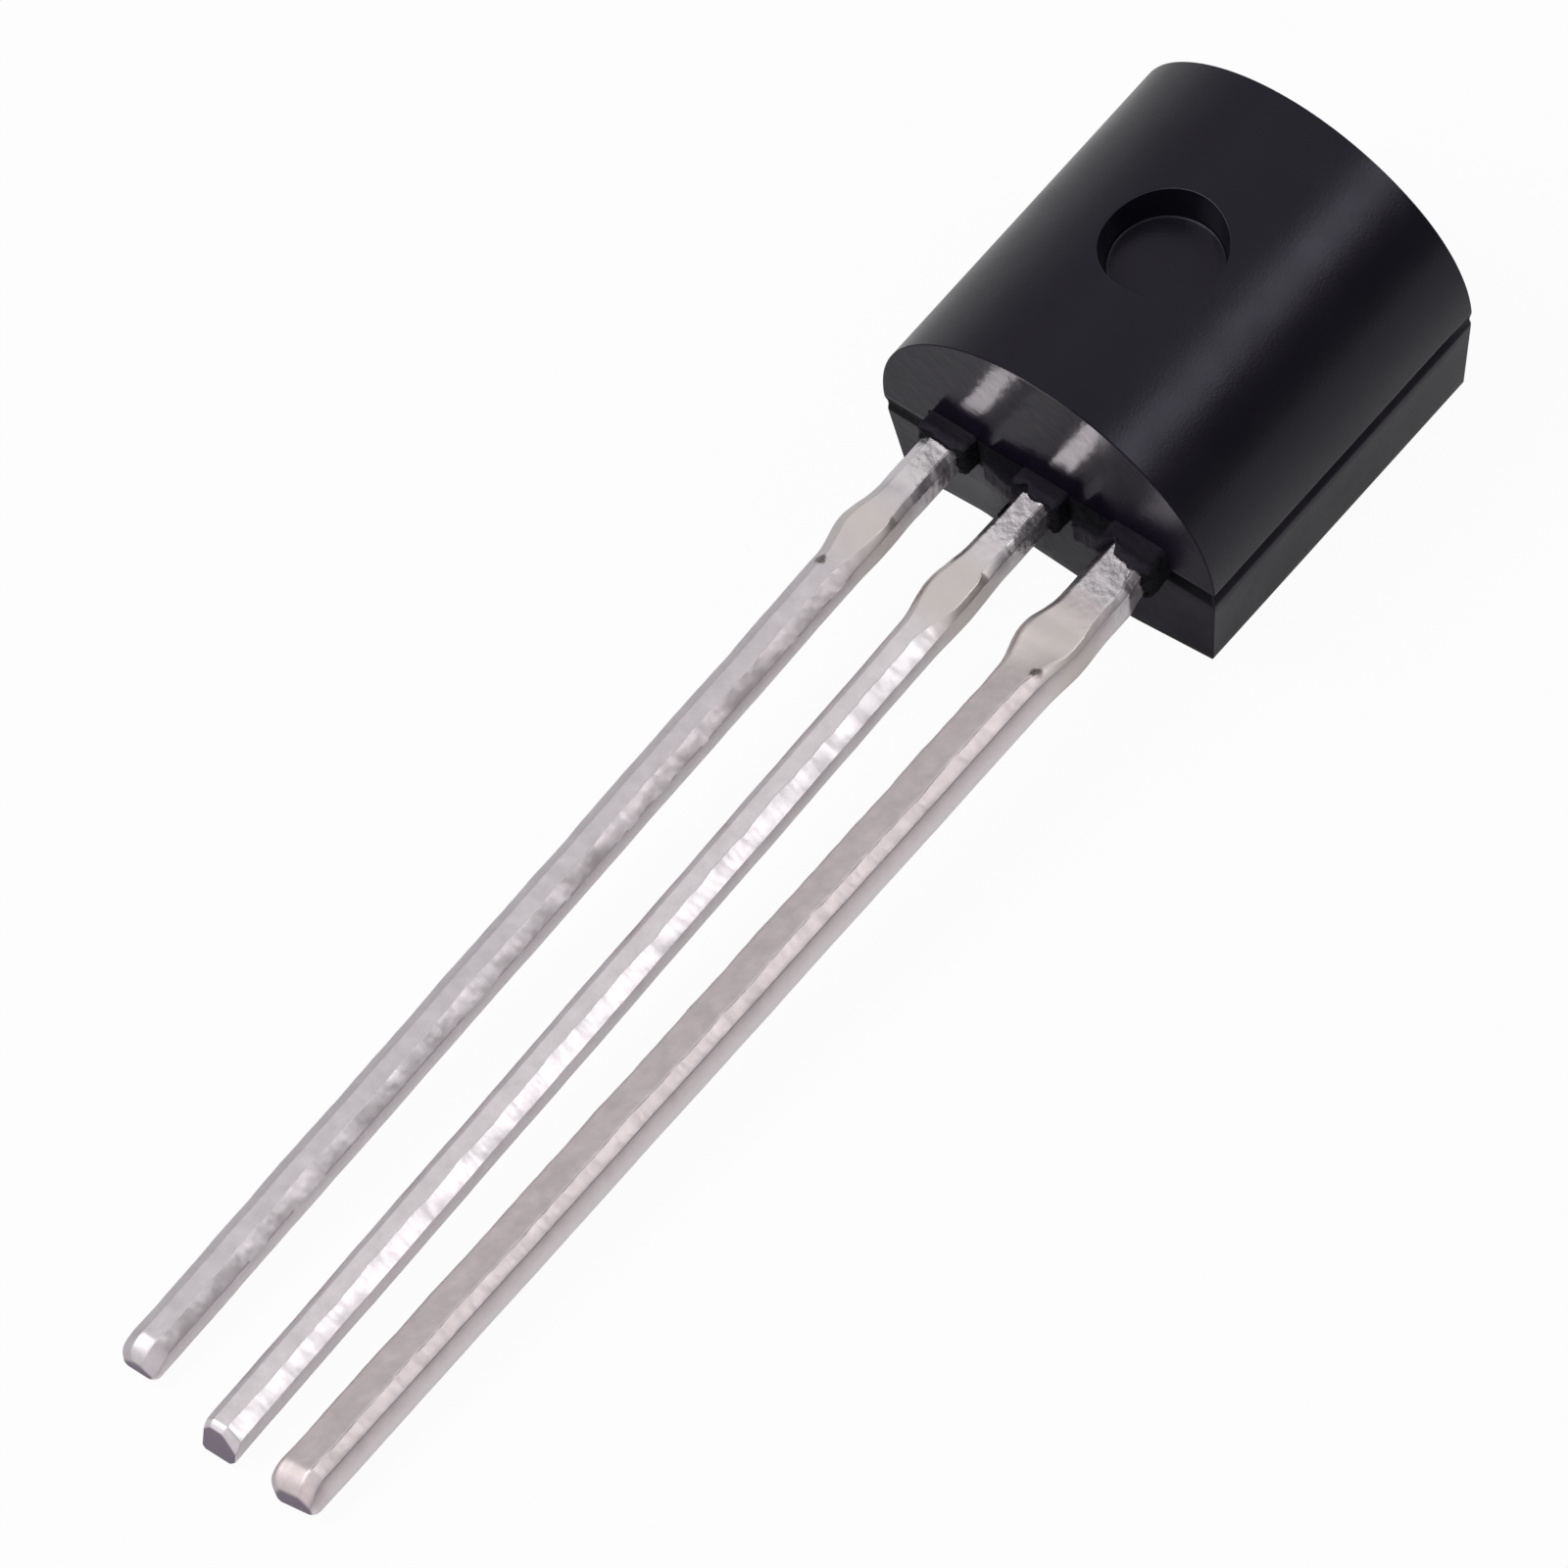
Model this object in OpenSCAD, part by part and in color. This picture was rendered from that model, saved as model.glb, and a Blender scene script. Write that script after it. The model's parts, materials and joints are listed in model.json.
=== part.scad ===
// Three-lead through-hole transistor in a moulded half-round package, lying
// as it comes to rest: on the lower edge of its flat and on one lead tip.
//
// Working frame of every module: x runs along the leads towards the body, with
// the lead-exit face at x = 0; y runs across; z = 0 is the parting plane of the
// mould, the rounded half above it and the flat half below.  rest() turns and
// lifts the finished pieces into the resting place.  Millimetres.

/* [Moulded body] */
// width across the body at the parting plane
body_width = 4.5; // [4.0:0.05:5.2]
// height of the rounded back above the parting plane
back_height = 2.25; // [1.8:0.05:2.7]
// radius of the crown of the back, slightly flatter than a half circle
crown_radius = 2.43; // [2.3:0.01:2.8]
// half angle of the crown, where the tighter side arcs take over
crown_angle = 42; // [30:1:60]
// length of the body along the leads
body_length = 4.5; // [4.0:0.05:5.4]
// depth of the flat half, parting plane to marking flat
flat_depth = 1.25; // [1.0:0.05:1.6]
// width of the marking flat
flat_width = 4.19; // [3.5:0.01:4.4]
// draft angle of both ends of the flat half
end_draft = 1.6; // [0.5:0.1:6]
// rounding of the moulded edges
edge_radius = 0.04; // [0.02:0.01:0.2]
// depth of the V left along the parting plane
parting_depth = 0.09; // [0.02:0.005:0.1]

/* [Ejector mark] */
// diameter of the round mark at the surface of the back
mark_diameter = 1.43; // [1.0:0.01:1.8]
// depth of its floor below the crown of the back
mark_depth = 0.46; // [0.2:0.01:0.7]
// how much narrower the floor is than the mouth, in diameter
mark_taper = 0.12; // [0:0.01:0.3]

/* [Plastic at the lead exits] */
// how far the plastic round a lead stands out of the body
collar_height = 0.29; // [0.1:0.01:0.5]
// the same at the first lead
collar_height_1 = 0.39; // [0.1:0.01:0.5]
// plastic skin left on both sides of a lead
collar_side = 0.06; // [0.04:0.01:0.3]
// plastic skin left over and under a lead
collar_skin = 0.05; // [0.02:0.01:0.15]
// how far the broken web between the leads stands out
web_height = 0.22; // [0.02:0.01:0.3]
// how far the web runs past the outer collars
web_overrun = 0.03; // [0:0.01:0.4]

/* [Lead frame] */
// distance between neighbouring leads
pitch = 1.27; // [1.0:0.01:2.54]
// thickness of the sheet the frame is stamped from
sheet = 0.38; // [0.3:0.01:0.5]
// width of a lead
lead_width = 0.52; // [0.38:0.01:0.6]
// width of the first lead outside the body, with its heavier plating
lead_width_1 = 0.59; // [0.38:0.01:0.65]
// thickness of the first lead outside the body
lead_thickness_1 = 0.46; // [0.38:0.01:0.5]
// width of the bevel coined along the two upper edges
bevel_width = 0.185; // [0.04:0.005:0.24]
// how far that bevel runs down the side
bevel_drop = 0.11; // [0.04:0.005:0.2]
// bevel width on the first lead, where the plating fills it
bevel_width_1 = 0.125; // [0.04:0.005:0.24]
// bevel drop on the first lead
bevel_drop_1 = 0.125; // [0.04:0.005:0.2]
// small break on the die side of the sheet
burr_radius = 0.03; // [0.01:0.01:0.08]

/* [Free leads] */
// length of the first lead from the body
lead_length_1 = 14.47; // [10:0.01:20]
// length of the middle lead from the body
lead_length_2 = 14.45; // [10:0.01:20]
// length of the third lead from the body
lead_length_3 = 14.13; // [10:0.01:20]
// sideways bend of the first lead, degrees
splay_1 = -0.6; // [-3:0.01:3]
// sideways bend of the middle lead, degrees
splay_2 = 0.59; // [-3:0.01:3]
// sideways bend of the third lead, degrees
splay_3 = 0.36; // [-3:0.01:3]
// droop of the free leads towards the flat side, degrees
droop = 1.54; // [0:0.01:4]
// twist of the first lead about its own length, degrees
twist_1 = -15; // [-20:0.5:20]
// slant of the sheared end of the middle lead, degrees
shear_slant = 14; // [0:1:30]
// corner break at the sheared ends
tip_chamfer = 0.1; // [0.02:0.01:0.15]

/* [Sheared tie bar] */
// distance of the tie bar's middle from the body
tie_distance = 1.55; // [1.0:0.05:2.5]
// length of the stub along the lead
tie_width = 1.1; // [0.4:0.05:1.4]
// how far the stub swells out on the far side of each lead
tie_stub_far = 0.1; // [0.02:0.01:0.3]
// how far it swells out on the near side
tie_stub_near = 0.03; // [0.01:0.01:0.3]

/* [Inside the body] */
// start of the anchor wings above the lead-exit face
wing_start = 0.45; // [0.3:0.01:0.8]
// length of the anchor wings
wing_length = 0.3; // [0.2:0.01:0.5]
// how far each wing reaches past the lead
wing_reach = 0.15; // [0.05:0.01:0.3]
// start of the pad and of the posts above the lead-exit face
pad_start = 1.35; // [1.0:0.01:1.8]
// length of the die pad
pad_length = 1.8; // [1.2:0.01:2.4]
// width of the die pad
pad_width = 1.3; // [0.9:0.01:1.5]
// length of the bonding posts
post_length = 1.35; // [0.9:0.01:1.8]
// gap between pad and post
post_gap = 0.27; // [0.2:0.01:0.5]
// width of the bonding posts
post_width = 0.8; // [0.5:0.01:1.0]
// anchor hole through each post
anchor_hole = 0.36; // [0.2:0.01:0.5]
// side of the square silicon die
die_side = 0.42; // [0.25:0.01:0.8]
// thickness of the die
die_thickness = 0.2; // [0.1:0.01:0.3]
// thickness of the bonding layer under the die
bond_layer = 0.03; // [0.01:0.005:0.06]
// how far the bonding layer shows round the die
bond_margin = 0.05; // [0.02:0.01:0.1]

/* [Bond wires] */
// diameter of the bond wire
wire_diameter = 0.038; // [0.025:0.001:0.05]
// diameter of the ball on the die
ball_diameter = 0.1; // [0.06:0.005:0.14]
// height of the flattened ball
ball_height = 0.03; // [0.02:0.005:0.06]
// distance of each ball from the middle of the die
ball_offset = 0.1; // [0.05:0.01:0.15]
// bend radius at the top of the loop
loop_radius = 0.1; // [0.06:0.01:0.2]
// slope of the wire down to the post, degrees
loop_slope = 30; // [20:1:40]
// length of the flattened stitch on the post
stitch_length = 0.13; // [0.08:0.01:0.2]
// thickness of the flattened stitch
stitch_thickness = 0.015; // [0.01:0.001:0.03]

/* [Hidden] */
$fn = 64;
// pieces of a rounded edge
edge_steps = 4;
// pieces of a tie-bar stub's swelling outline
stub_steps = 10;
// how far a lead runs into its pad or post
bar_overlap = 0.1;
// overrun of cutting shapes past the face they cut
past = 0.5;
half_width = body_width / 2;
flat_inset = flat_depth * tan(end_draft);
crown_z = back_height - crown_radius;
// how far the side arcs stand proud of the crown where they take over
arc_lap = 0.008;
// side arcs that touch the crown at its half angle, then grown by the lap
arc_width = half_width - arc_lap;
arc_gap = (arc_width ^ 2 + back_height ^ 2 - 2 * back_height * crown_radius)
        / 2 / (arc_width * sin(crown_angle) - crown_z * cos(crown_angle)
               - crown_radius);
side_radius = crown_radius - arc_gap + arc_lap;
side_y = arc_gap * sin(crown_angle);
side_z = crown_z + arc_gap * cos(crown_angle);
pad_end = pad_start + pad_length;
die_x = pad_start + pad_length / 2;
die_bottom = sheet + bond_layer;
die_top = die_bottom + die_thickness;
post_inner = pad_width / 2 + post_gap;
post_x = pad_start + post_length * 0.72;
hole_x = pad_start + post_length * 0.3;

// resting place: the flat's lower edge and the first tip to reach the floor
edge_x = flat_inset + edge_radius;
free_1 = lead_length_1 - tie_distance;
free_2 = lead_length_2 - tie_distance;
free_3 = lead_length_3 - tie_distance;
// underside of a tip, and of the first one with its twist
function tip_z(free, thick) =
    sheet / 2 - free * sin(droop) - thick / 2 * cos(droop);
twist_drop = (lead_width_1 / 2 - burr_radius) * sin(abs(twist_1))
           - (lead_thickness_1 / 2 - burr_radius) * (1 - cos(twist_1));
function tip_tilt(length, z) = atan((flat_depth + z) / (edge_x + length));
tilt = min(tip_tilt(lead_length_1,
                    tip_z(free_1, lead_thickness_1) - twist_drop),
           tip_tilt(lead_length_2, tip_z(free_2, sheet)),
           tip_tilt(lead_length_3, tip_z(free_3, sheet)));
function turned_x(x, z) = x * cos(tilt) - z * sin(tilt);
function turned_z(x, z) = x * sin(tilt) + z * cos(tilt);
far_end = max(turned_x(body_length, -parting_depth),
              turned_x(body_length - flat_inset, -flat_depth + edge_radius));
tip_end = turned_x(-lead_length_1,
                   tip_z(free_1, lead_thickness_1) + lead_thickness_1);

// moves the pieces from the working frame to the resting place
module rest() {
    translate([-(far_end + tip_end) / 2, 0, -turned_z(edge_x, -flat_depth)])
        rotate([0, -tilt, 0])
            children();
}

// extrudes an upright outline (across, up) along the leads
module along(start, end) {
    translate([start, 0, 0])
        rotate([90, 0, 90])
            linear_extrude(end - start)
                children();
}

// points of a quarter round about a centre, from one angle to the next
function arc(centre, radius, from) =
    [for (i = [0:edge_steps])
        centre + radius * [cos(from + 90 * i / edge_steps),
                           sin(from + 90 * i / edge_steps)]];

// ---- moulded body -------------------------------------------------------

// section of the rounded back: a crown and a tighter arc on each side
module back_section() {
    reach = 2 * crown_radius;
    intersection() {
        union() {
            intersection() {
                translate([0, crown_z])
                    circle(crown_radius);
                polygon([[0, crown_z],
                         [reach * sin(crown_angle),
                          crown_z + reach * cos(crown_angle)],
                         [-reach * sin(crown_angle),
                          crown_z + reach * cos(crown_angle)]]);
            }
            for (side = [-1, 1])
                translate([side * side_y, side_z])
                    circle(side_radius);
        }
        translate([-body_width, 0])
            square([2 * body_width, body_width]);
    }
}

// rounded half above the parting plane
module round_half() {
    along(0, body_length)
        back_section();
}

// section of the flat half across the body
module flat_section() {
    lean = atan((half_width - flat_width / 2) / flat_depth);
    foot = flat_width / 2 - edge_radius * tan(45 - lean / 2);
    polygon([
        [-half_width, 0],
        [-flat_width / 2 - edge_radius * sin(lean), -flat_depth + edge_radius],
        [-foot, -flat_depth],
        [foot, -flat_depth],
        [flat_width / 2 + edge_radius * sin(lean), -flat_depth + edge_radius],
        [half_width, 0]]);
}

// outline of the flat half from the side, drafted ends and rounded foot
module flat_profile() {
    r = edge_radius;
    polygon(concat(
        [[0, 0]],
        arc([flat_inset + r, r - flat_depth], r, 180),
        arc([body_length - flat_inset - r, r - flat_depth], r, 270),
        [[body_length, 0]]));
}

module flat_half() {
    intersection() {
        along(0, body_length)
            flat_section();
        translate([0, body_width, 0])
            rotate([90, 0, 0])
                linear_extrude(2 * body_width)
                    flat_profile();
    }
}

// V left all round where the two mould halves meet
module parting_groove() {
    side = parting_depth * sqrt(2);
    for (y = [-half_width, half_width])
        translate([body_length / 2, y, 0])
            rotate([45, 0, 0])
                cube([body_length + 2 * past, side, side], center = true);
    for (x = [0, body_length])
        translate([x, 0, 0])
            rotate([0, 45, 0])
                cube([side, body_width + 2 * past, side], center = true);
}

// flat-bottomed pocket left by the ejector pin in the rounded back
module ejector_mark() {
    grow = mark_taper / mark_depth;
    translate([body_length / 2, 0, back_height - mark_depth])
        cylinder(h = mark_depth + past,
                 d1 = mark_diameter - mark_taper,
                 d2 = mark_diameter + grow * past);
}

// plastic that crept along each lead, and the broken web between them
module exit_plastic() {
    for (number = [1:3]) {
        height = number == 1 ? collar_height_1 : collar_height;
        wide = outer_width(number) + 2 * collar_side;
        tall = outer_thickness(number) + 2 * collar_skin;
        translate([-height, (number - 2) * pitch - wide / 2,
                   (sheet - tall) / 2])
            cube([height + past, wide, tall]);
    }
    run = 2 * pitch + lead_width + 2 * (collar_side + web_overrun);
    translate([-web_height, -run / 2, 0])
        cube([web_height + past, run, sheet]);
}

module moulded_body() {
    color([0.05, 0.05, 0.055])
        rest()
            difference() {
                union() {
                    difference() {
                        union() {
                            round_half();
                            flat_half();
                        }
                        parting_groove();
                        ejector_mark();
                    }
                    exit_plastic();
                }
                lead(1);
                lead(2);
                lead(3);
                die_stack();
                for (side = [-1, 1])
                    wire(side);
            }
}

// ---- lead frame ---------------------------------------------------------

// size of a lead outside the body
function outer_width(number) = number == 1 ? lead_width_1 : lead_width;
function outer_thickness(number) = number == 1 ? lead_thickness_1 : sheet;
function outer_bevel(number) =
    number == 1 ? [bevel_width_1, bevel_drop_1] : [bevel_width, bevel_drop];

// section of a stamped lead: bevelled above, nearly sharp below
module lead_section(width, thick, bevel) {
    w = width / 2;
    translate([0, (sheet - thick) / 2])
        polygon(concat(
            arc([burr_radius - w, burr_radius], burr_radius, 180),
            arc([w - burr_radius, burr_radius], burr_radius, 270),
            [[w, thick - bevel[1]], [w - bevel[0], thick],
             [bevel[0] - w, thick], [-w, thick - bevel[1]]]));
}

module outer_section(number) {
    lead_section(outer_width(number), outer_thickness(number),
                 outer_bevel(number));
}

// free length beyond the tie bar, before it is bent
module free_lead(number, free, slant) {
    width = outer_width(number);
    difference() {
        along(-free, tie_width / 4)
            outer_section(number);
        translate([-free, 0, 0])
            rotate([0, slant, 0])
                translate([-past, -width, -past])
                    cube([past, 2 * width, sheet + 2 * past]);
        for (s = [-1, 1])
            translate([-free, s * width / 2, -past])
                rotate([0, 0, 45])
                    cube([tip_chamfer * sqrt(2), tip_chamfer * sqrt(2),
                          2 * (sheet + 2 * past)], center = true);
    }
}

// flat plate cut in the sheet
module plate() {
    linear_extrude(sheet)
        children();
}

// one edge of the tie-bar stub, swelling out and back along the lead
function stub_edge(edge, swell, side) =
    [for (i = [0:stub_steps])
        [-tie_distance + side * tie_width * (i / stub_steps - 0.5),
         side * (edge + swell * (1 - cos(360 * i / stub_steps)) / 2)]];

// what is left of the tie bar that joined the leads while they were moulded
module tie_stub(number) {
    edge = outer_width(number) / 2;
    thick = outer_thickness(number);
    translate([0, 0, (sheet - thick) / 2])
        linear_extrude(thick)
            polygon(concat(stub_edge(edge, tie_stub_near, -1),
                           stub_edge(edge, tie_stub_far, 1)));
}

// wings that lock the lead in the plastic
module anchor_wings() {
    plate()
        translate([wing_start, -lead_width / 2 - wing_reach])
            square([wing_length, lead_width + 2 * wing_reach]);
}

// one stamped lead; the middle one carries the pad, the outer ones a post
module lead(number) {
    free = [free_1, free_2, free_3][number - 1];
    splay = [splay_1, splay_2, splay_3][number - 1];
    twist = number == 1 ? twist_1 : 0;
    slant = number == 2 ? shear_slant : 0;
    translate([0, (number - 2) * pitch, 0]) {
        along(-tie_distance, 0)
            outer_section(number);
        along(-collar_height, pad_start + bar_overlap)
            lead_section(lead_width, sheet, [bevel_width, bevel_drop]);
        translate([-tie_distance, 0, sheet / 2])
            rotate([0, -droop, splay])
                rotate([twist, 0, 0])
                    translate([0, 0, -sheet / 2])
                        free_lead(number, free, slant);
        tie_stub(number);
        anchor_wings();
    }
    if (number == 2)
        plate()
            translate([pad_start, -pad_width / 2])
                square([pad_length, pad_width]);
    else
        on_side(number - 2)
            post();
}

// mirrors a shape drawn on the positive side across the middle lead
module on_side(side) {
    if (side < 0)
        mirror([0, 1, 0])
            children();
    else
        children();
}

// bonding post with its anchor hole, drawn on the positive side
module post() {
    difference() {
        plate()
            translate([pad_start, post_inner])
                square([post_length, post_width]);
        translate([hole_x, post_inner + post_width / 2, -past])
            cylinder(h = sheet + 2 * past, d = anchor_hole);
    }
}

module lead_1() {
    color([0.74, 0.72, 0.7])
        rest()
            lead(1);
}

module lead_2() {
    color([0.74, 0.72, 0.7])
        rest()
            lead(2);
}

module lead_3() {
    color([0.74, 0.72, 0.7])
        rest()
            lead(3);
}

// ---- die and wires ------------------------------------------------------

// square block standing on the pad
module pad_block(side, bottom, top) {
    translate([die_x - side / 2, -side / 2, bottom])
        cube([side, side, top - bottom]);
}

module die_stack() {
    pad_block(die_side + 2 * bond_margin, sheet, die_bottom);
    pad_block(die_side, die_bottom, die_top);
}

module die_bond() {
    color([0.6, 0.6, 0.6])
        rest()
            pad_block(die_side + 2 * bond_margin, sheet, die_bottom);
}

module die() {
    color([0.25, 0.27, 0.3])
        rest()
            pad_block(die_side, die_bottom, die_top);
}

// wire from a ball on the die over a loop to a stitch on the post
module wire(side) {
    reach_x = post_x - die_x;
    reach_y = post_inner + post_width * 0.3 - ball_offset;
    run = norm([reach_x, reach_y]);
    drop = die_top - sheet;
    rise = tan(loop_slope) * (run - loop_radius * (1 + sin(loop_slope)))
         - loop_radius * cos(loop_slope) - drop;
    slope_run = run - loop_radius * (1 + sin(loop_slope));
    translate([die_x, side * ball_offset, die_top])
        rotate([0, 0, side * atan2(reach_y, reach_x)]) {
            cylinder(h = ball_height, d = ball_diameter);
            cylinder(h = rise, d = wire_diameter);
            translate([loop_radius, 0, rise])
                rotate([90, 0, 0])
                    rotate([0, 0, 90 - loop_slope])
                        rotate_extrude(angle = 90 + loop_slope)
                            translate([loop_radius, 0])
                                circle(d = wire_diameter);
            difference() {
                translate([run, 0, -drop])
                    rotate([0, loop_slope - 90, 0])
                        translate([0, 0, -wire_diameter])
                            cylinder(h = slope_run / cos(loop_slope)
                                         + wire_diameter,
                                     d = wire_diameter);
                translate([run - past, -past, -drop - past])
                    cube([2 * past, 2 * past, past]);
            }
            translate([run - stitch_length / 2, -wire_diameter, -drop])
                cube([stitch_length, 2 * wire_diameter, stitch_thickness]);
        }
}

module wire_1() {
    color([0.85, 0.65, 0.25])
        rest()
            wire(-1);
}

module wire_3() {
    color([0.85, 0.65, 0.25])
        rest()
            wire(1);
}

moulded_body();
lead_1();
lead_2();
lead_3();
die_bond();
die();
wire_1();
wire_3();
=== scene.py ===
# %% [markdown]
# # A small half-round transistor
# A pellet of black moulding compound grips three tinned leads.  The solids of
# the construction model give every place and size; this lesson gives them the
# surfaces they have on the bench: a satin moulded body with a parting line
# and a pin mark, and leads with bevelled edges, worn ends and uneven tin.

# %% Load the shared frame
import bmesh
import bpy
import json
import numpy as np
from mathutils import Matrix

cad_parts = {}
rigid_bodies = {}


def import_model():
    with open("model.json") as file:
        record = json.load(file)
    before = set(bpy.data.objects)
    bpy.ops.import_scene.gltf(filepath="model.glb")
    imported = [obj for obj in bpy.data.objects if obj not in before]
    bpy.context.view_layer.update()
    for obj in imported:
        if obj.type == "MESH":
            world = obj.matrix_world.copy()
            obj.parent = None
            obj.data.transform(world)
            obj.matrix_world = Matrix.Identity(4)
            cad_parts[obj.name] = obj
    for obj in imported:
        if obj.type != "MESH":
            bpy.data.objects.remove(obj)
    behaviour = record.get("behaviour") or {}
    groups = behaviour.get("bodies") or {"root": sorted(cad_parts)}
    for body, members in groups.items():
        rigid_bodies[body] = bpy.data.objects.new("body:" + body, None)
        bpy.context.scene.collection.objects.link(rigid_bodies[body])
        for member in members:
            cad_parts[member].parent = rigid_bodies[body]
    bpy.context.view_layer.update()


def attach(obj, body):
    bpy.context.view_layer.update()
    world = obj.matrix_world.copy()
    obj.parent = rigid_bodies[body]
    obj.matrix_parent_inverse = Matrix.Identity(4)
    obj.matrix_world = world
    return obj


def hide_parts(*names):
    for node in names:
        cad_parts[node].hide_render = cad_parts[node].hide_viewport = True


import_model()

# %% [markdown]
# ## Where things lie
# Each shape is worked out in the maker's own axes, in millimetres: x along the
# leads towards the body, y across, z = 0 on the parting plane of the mould.
# The part does not lie level: its long leads tip it onto the near lower edge
# of the flat and one lead end.  One turn and one shift carry every finished
# point there, so no object needs a transform of its own.

# %% From the maker's axes to the resting place
REST_TILT = np.radians(3.152485)
REST_SHIFT = np.array([4.963620, 0.0, 1.243989])


def to_rest(p):
    """x' = x cos t - z sin t and z' = x sin t + z cos t, then the shift,
    then millimetres to metres."""
    p = np.asarray(p, float)
    c, s = np.cos(REST_TILT), np.sin(REST_TILT)
    x = p[..., 0] * c - p[..., 2] * s
    z = p[..., 0] * s + p[..., 2] * c
    return (np.stack([x, p[..., 1], z], -1) + REST_SHIFT) * 0.001


# %% [markdown]
# ## Grids, welds and meshes
# Every surface is a grid of points: rows one way, columns the other.  Grids
# that share an edge are welded by rounding their points to a fine raster,
# which also closes poles, where a whole row falls on one point.

# %% Helpers that turn grids into meshes
WELD = 2e-5
BODY_SHARP, LEAD_SHARP = 32, 50


def grid_faces(rows, cols, wrap=False, first=0):
    """Each quad joins point (i, j) to its right and upper neighbours; with
    wrap the last column joins the first."""
    i = np.arange(rows - 1)[:, None]
    j = np.arange(cols if wrap else cols - 1)[None, :]
    k = (j + 1) % cols
    quads = [i * cols + j, i * cols + k, (i + 1) * cols + k, (i + 1) * cols + j]
    return np.stack([q.ravel() for q in np.broadcast_arrays(*quads)], -1) + first


def weld(points, quads):
    """Points that round to the same raster cell become one; a quad that loses
    a corner becomes a triangle and one that loses two is dropped."""
    key = np.round(points / WELD).astype(np.int64)
    _, keep, back = np.unique(key, axis=0, return_index=True,
                              return_inverse=True)
    faces = back.ravel()[quads]
    distinct = faces != np.roll(faces, 1, axis=1)
    full, three = distinct.all(1), distinct.sum(1) == 3
    tris = faces[three][distinct[three]].reshape(-1, 3)
    ids = np.concatenate([np.nonzero(full)[0], np.nonzero(three)[0]])
    return keep, faces[full].tolist() + tris.tolist(), ids


def make_piece(name, grids, slot, sharp, zones=None, **layers):
    """Stacks the grids, welds them and makes one mesh object.  Edges steeper
    than sharp, in degrees, stay sharp.  Zones give the material slot of each
    grid's faces, one number or an array for each; the layers are stored as
    per-point attributes."""
    points = np.concatenate([g[0].reshape(-1, 3) for g in grids])
    start = np.cumsum([0] + [g[0][..., 0].size for g in grids])
    quads = np.concatenate([g[1] + s for g, s in zip(grids, start)])
    keep, faces, ids = weld(points, quads)
    mesh = bpy.data.meshes.new(name)
    mesh.from_pydata(to_rest(points[keep]).tolist(), [], faces)
    if zones is not None:
        zone = np.concatenate([np.broadcast_to(z, len(g[1]))
                               for z, g in zip(zones, grids)])
        mesh.polygons.foreach_set("material_index", zone[ids].astype(np.int32))
    for layer, values in layers.items():
        a = mesh.attributes.new(layer, "FLOAT", "POINT")
        a.data.foreach_set("value", np.concatenate(
            [np.ravel(v) for v in values])[keep].astype(np.float32))
    obj = bpy.data.objects.new(name, mesh)
    bpy.context.scene.collection.objects.link(obj)
    turn_outwards(mesh)
    mesh.shade_smooth()
    mesh.set_sharp_from_angle(angle=np.radians(sharp))
    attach(obj, "root")
    print(name, "points", len(mesh.vertices), "faces", len(mesh.polygons))
    return obj


def turn_outwards(mesh):
    """Recalculates the faces' direction, so that every shell points out."""
    bm = bmesh.new()
    bm.from_mesh(mesh)
    bmesh.ops.recalc_face_normals(bm, faces=bm.faces)
    bm.to_mesh(mesh)
    bm.free()


def closed_tube(rings):
    """Rings of points along a path, each end closed by a fan to its middle."""
    first = np.repeat(rings[:1].mean(1, keepdims=True), rings.shape[1], 1)
    last = np.repeat(rings[-1:].mean(1, keepdims=True), rings.shape[1], 1)
    rings = np.concatenate([first, rings, last])
    return rings, grid_faces(*rings.shape[:2], wrap=True)


def smooth_step(x):
    """0 below 0, 1 above 1, and 3x^2 - 2x^3 between."""
    x = np.clip(x, 0, 1)
    return x * x * (3 - 2 * x)


# %% [markdown]
# ## The moulded body
# The mould has two halves.  The upper one is a half round, the lower one a
# shallow tray with drafted ends that carries the marking flat.  Where they
# meet, their worn lips leave a soft valley all round, shallower on the left
# and at the far end, where the halves closed tighter.  A boolean would do, but
# it leaves long slivers that shade badly, so each half is a grid of loops:
# every row is one closed loop round the body, and both halves start from the
# same loop at the bottom of the valley.
#
# GROOVE and GROOVE_FAR are the valley's depths and LIP its half width; EDGE is
# the radius of the moulded edges, and GUARD, BORDER and FOOT_BORDER are the
# distances of the extra loops that keep their shading narrow.

# %% Sizes of the body
WIDTH, LENGTH = 4.5, 4.5
HALF = WIDTH / 2
BACK = 2.25
FLAT_DEPTH, FLAT_WIDTH = 1.248, 4.19
END_DRAFT, FAR_DRAFT = np.radians(1.6), np.radians(3.8)
EDGE = 0.008
GUARD, BORDER, FOOT_BORDER = 0.01, 0.012, 0.015
GROOVE, GROOVE_FAR, LIP = 0.09, 0.02, 0.14
FADE_START, FADE_RUN = 0.55, 0.5
CROWN_RADIUS, CROWN_HALF = 2.43, np.radians(42)
SIDE_STEPS, CAP_STEPS, LEVELS = 88, 40, 60
DEPTH_STEPS, FOOT_STEPS = 9, 7

# %% Section of the back: a crown between two tighter arcs
CROWN_Z = BACK - CROWN_RADIUS
ARC_GAP = (HALF ** 2 + BACK ** 2 - 2 * BACK * CROWN_RADIUS) / 2 / (
    HALF * np.sin(CROWN_HALF) - CROWN_Z * np.cos(CROWN_HALF) - CROWN_RADIUS)
SIDE_RADIUS = CROWN_RADIUS - ARC_GAP
SIDE_Y, SIDE_Z = (ARC_GAP * np.sin(CROWN_HALF),
                  CROWN_Z + ARC_GAP * np.cos(CROWN_HALF))


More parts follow.
